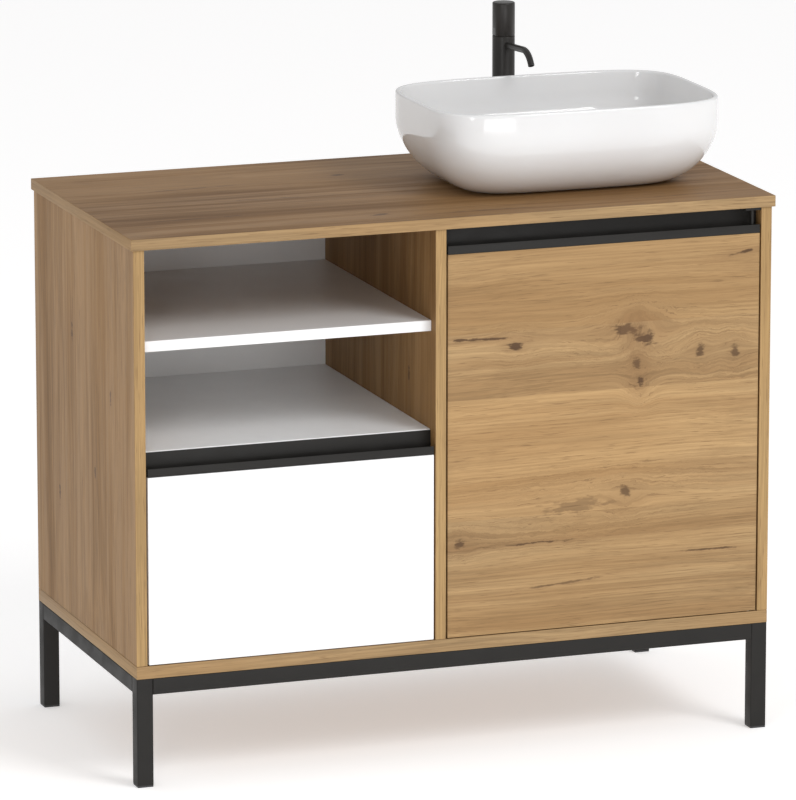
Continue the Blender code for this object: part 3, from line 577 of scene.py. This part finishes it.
socketLow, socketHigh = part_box("door_socket_bottom")
socketStyle = {"gap": 0.0003, "above": 0.01}
socketHole = (socketHigh.x - socketLow.x) / 2 + socketStyle["gap"]
socketCentre = (socketLow + socketHigh) / 2
floorBoard = makeBoard("oakBottom", "bottom_panel", 2, [
    (socketCentre.x, socketCentre.y, socketHole,
     socketLow.z - socketStyle["gap"], socketHigh.z + socketStyle["above"]),
])
finish(floorBoard, "root", "oak_laminate", [oakTop, oakBand, oakEndBand], "bottom_panel")
bandFaces(floorBoard, [(1, 1), (0, 2)])

for name, node in (("whiteNicheShelf", "niche_shelf"), ("whiteDrawerCover", "drawer_cover_shelf")):
    finish(makeBoard(name, node, 2), "root", "white_laminate", [whiteLaminate], node)
finish(makeBoard("oakDoorLeaf", "door_panel", 1), "door", "oak_laminate", [oakDoor], "door_panel")
finish(makeBoard("whiteDrawerFace", "drawer_front", 1), "drawer", "white_laminate", [whiteLaminate],
       "drawer_front")
print("boards ready")


# Base frame: folded square tube with rounded corners
tubeStyle = {"corner": 0.0020, "wall": 0.0015}


def makeTube(name, node, axis):
    tube = startBlock(name, node)
    selectFaces(tube, lambda face: abs(face.normal[axis]) > 0.9)
    bpy.ops.mesh.delete(type="ONLY_FACE")
    leaveEdit()
    longEdges = []
    for edge in tube.data.edges:
        first, second = (tube.data.vertices[k].co for k in edge.vertices)
        edge.select = abs(first[axis] - second[axis]) > 0.001
        longEdges.append(edge.select)
    bpy.ops.object.mode_set(mode="EDIT")
    bpy.ops.mesh.select_mode(type="EDGE")
    leaveEdit()
    for edge, wanted in zip(tube.data.edges, longEdges):
        edge.select = wanted
    bpy.ops.object.mode_set(mode="EDIT")
    bpy.ops.mesh.bevel(offset=tubeStyle["corner"], segments=4, affect="EDGES")
    bpy.ops.mesh.select_all(action="SELECT")
    bpy.ops.mesh.normals_make_consistent(inside=False)
    leaveEdit()
    applyModifier(tube, "SOLIDIFY", thickness=tubeStyle["wall"], offset=-1.0)
    settle(tube)
    finish(tube, "root", "black_coated_steel", [blackSteel], node)


for end in ("front", "back"):
    for side in ("left", "right"):
        makeTube(f"leg{end.title()}{side.title()}", f"leg_{end}_{side}", 2)
    makeTube(f"rail{end.title()}", f"frame_rail_{end}", 0)
for side in ("left", "right"):
    makeTube(f"rail{side.title()}", f"frame_rail_{side}", 1)
print("base frame ready")


# Turned and lofted pieces: one loop, extruded ring by ring, its last ring joined to its first
def growRings(name, outline, rings, centre):
    # outline: points of the first loop at unit size; rings: half x, half y, z
    clearSelection()
    bpy.ops.mesh.primitive_circle_add(vertices=len(outline), radius=1, location=(0, 0, 0))
    piece = bpy.context.object
    piece.name = name
    halfX, halfY, z = rings[0]
    for vertex, (x, y) in zip(piece.data.vertices, outline):
        vertex.co = (centre[0] + x * halfX, centre[1] + y * halfY, z)
    editAll()
    bpy.ops.mesh.select_mode(type="EDGE")
    for nextX, nextY, nextZ in rings[1:]:
        bpy.ops.mesh.extrude_edges_move(TRANSFORM_OT_translate={"value": (0, 0, nextZ - z)})
        bpy.ops.transform.resize(
            value=(nextX / halfX, nextY / halfY, 1), center_override=(centre[0], centre[1], nextZ))
        halfX, halfY, z = nextX, nextY, nextZ
    bpy.ops.mesh.select_all(action="DESELECT")
    bpy.ops.mesh.select_non_manifold()
    bpy.ops.mesh.bridge_edge_loops()
    bpy.ops.mesh.select_all(action="SELECT")
    bpy.ops.mesh.normals_make_consistent(inside=False)
    leaveEdit()
    return piece


def circleOutline(count):
    return [(math.cos(2 * math.pi * k / count), math.sin(2 * math.pi * k / count)) for k in range(count)]


def ovalOutline(count, roundness):
    points = []
    for x, y in circleOutline(count):
        points.append((
            math.copysign(abs(x) ** (2 / roundness), x),
            math.copysign(abs(y) ** (2 / roundness), y),
        ))
    return points


def turnPiece(name, profile, centre, segments):
    rings = [(radius, radius, z) for radius, z in profile]
    piece = growRings(name, circleOutline(segments), rings, centre)
    settle(piece, 35)
    return piece


basinStyle = {
    "roundness": 4.4,
    "points": 128,
    "wall": 0.0070,
    "footInset": (0.0747, 0.0701),
    "turnHeight": 0.0907,
    "turnPower": 1.72,
    "innerFloor": 0.0240,
    "innerShoulder": 0.1000,
    "innerInset": (0.085, 0.080),
    "rimRadius": 0.0035,
    "steps": 18,
    "spacing": 1.6,
    "drain": 0.023,
    "footFlat": (0.060, 0.045),
    "dish": [(0.080, 0.052, 0.0218), (0.036, 0.034, 0.0203), (0.023, 0.023, 0.0200)],
    "rimSteps": 8,
}


def makeBasin():
    style = basinStyle
    base = basinLow.z
    halfX, halfY = (basinHigh.x - basinLow.x) / 2, (basinHigh.y - basinLow.y) / 2
    height = basinHigh.z - basinLow.z
    steps = style["steps"]
    rings = [(style["drain"], style["drain"], base), (*style["footFlat"], base)]
    insetX, insetY = style["footInset"]
    for k in range(steps + 1):
        z = style["turnHeight"] * (k / steps) ** style["spacing"]
        reach = ((style["turnHeight"] - z) / style["turnHeight"]) ** style["turnPower"]
        inset = 1 - (1 - reach) ** (1 / style["turnPower"])
        rings.append((halfX - insetX * inset, halfY - insetY * inset, base + z))
    rings.append((halfX, halfY, base + (style["turnHeight"] + height) / 2))
    for k in range(style["rimSteps"] + 1):
        angle = math.pi * k / style["rimSteps"]
        inset = style["rimRadius"] * (1 - math.cos(angle))
        z = height - style["rimRadius"] * (1 - math.sin(angle))
        rings.append((halfX - inset, halfY - inset, base + z))
    innerX, innerY = halfX - style["wall"], halfY - style["wall"]
    insetX, insetY = style["innerInset"]
    depth = style["innerShoulder"] - style["innerFloor"]
    for k in range(steps + 1):
        z = style["innerFloor"] + depth * (1 - k / steps) ** style["spacing"]
        inset = 1 - (1 - ((style["innerShoulder"] - z) / depth) ** 2.0) ** 0.5
        rings.append((innerX - insetX * inset, innerY - insetY * inset, base + z))
    for dishX, dishY, z in style["dish"]:
        rings.append((dishX, dishY, base + z))
    outline = ovalOutline(style["points"], style["roundness"])
    basin = growRings("glazedBasin", outline, rings, basinCentre)
    settle(basin, 50)
    finish(basin, "root", "glazed_ceramic", [glaze], "basin")


makeBasin()
print("basin ready")


# Tap
tapStyle = {"bore": 0.0130, "flange": 0.0200, "socket": 0.0145, "socketDepth": 0.030, "segments": 96}


def makeTap():
    style = tapStyle
    bodyLow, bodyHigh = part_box("tap_body")
    radius = (tapHigh.y - tapLow.y) / 2
    flange = style["flange"]
    seat, top = bodyLow.z, bodyHigh.z
    body = turnPiece("tapColumn", [
        (style["bore"], seat),
        (flange - 0.0002, seat),
        (flange, seat + 0.0003),
        (flange, seat + 0.0016),
        (flange - 0.0004, seat + 0.0021),
        (radius + 0.0004, seat + 0.0034),
        (radius, seat + 0.0040),
        (radius, top - 0.0007),
        (radius - 0.0002, top - 0.0002),
        (radius - 0.0006, top),
        (style["socket"], top),
        (style["socket"], top - style["socketDepth"]),
        (style["bore"], top - style["socketDepth"] - 0.002),
    ], tapCentre, style["segments"])
    finish(body, "root", "black_tap_finish", [tapBlack], "tap_body")


makeTap()
print("tap ready")


# Grips, lips, tap cap and aerator are merged, edge-rounded copies; the other nodes stay as they are
slotFinish = {
    "oak_laminate": oakTop,
    "white_laminate": whiteLaminate,
    "black_coated_steel": blackSteel,
    "black_tap_finish": tapBlack,
    "glazed_ceramic": glaze,
    "chrome_waste": chromePolish,
    "zinc_steel": zincSteel,
    "black_rubber": blackRubber,
    "black_plastic": blackPlastic,
}
slotOf = {part["node"]: part["material_slot"] for part in frame["record"]["subparts"]}
bodyOf = {node: body for body, members in frame["record"]["behaviour"]["bodies"].items() for node in members}


def refineCopy(node, width):
    clearSelection()
    copy = nodes[node].copy()
    copy.data = nodes[node].data.copy()
    copy.name = "fine_" + node
    for key in list(copy.keys()):
        del copy[key]
    copy.parent = None
    scene.collection.objects.link(copy)
    copy.select_set(True)
    bpy.context.view_layer.objects.active = copy
    editAll()
    bpy.ops.mesh.remove_doubles(threshold=0.00002)
    bpy.ops.mesh.dissolve_limited(angle_limit=math.radians(1))
    leaveEdit()
    applyModifier(copy, "BEVEL", width=width, segments=2, limit_method="ANGLE",
                  angle_limit=math.radians(30))
    settle(copy)
    finish(copy, bodyOf[node], slotOf[node], [slotFinish[slotOf[node]]], node)


# node: width of its rounded edges
refinedWidths = {
    "drawer_grip_profile": 0.0003, "door_grip_profile": 0.0003, "drawer_grip_lip": 0.0004,
    "door_grip_lip": 0.0004, "tap_handle": 0.0004, "tap_aerator": 0.0003,
}
for node, width in refinedWidths.items():
    refineCopy(node, width)

for node, piece in nodes.items():
    if not piece.hide_render:
        piece.data.materials.clear()
        piece.data.materials.append(slotFinish[slotOf[node]])
print("hardware ready")


# Floor
bpy.ops.object.select_all(action="DESELECT")
bpy.ops.mesh.primitive_plane_add(size=studio["floorSize"], location=(0, 0, 0))
floor = bpy.context.object
floor.name = "studioFloor"
paleFloor = startMaterial(
    "paleFloor", Base_Color=studio["floorShade"], Roughness=0.9, Specular_IOR_Level=0.1,
    Emission_Color=studio["floorShade"], Emission_Strength=studio["floorGlow"])[0]
floor.data.materials.append(paleFloor)

print("scene ready")
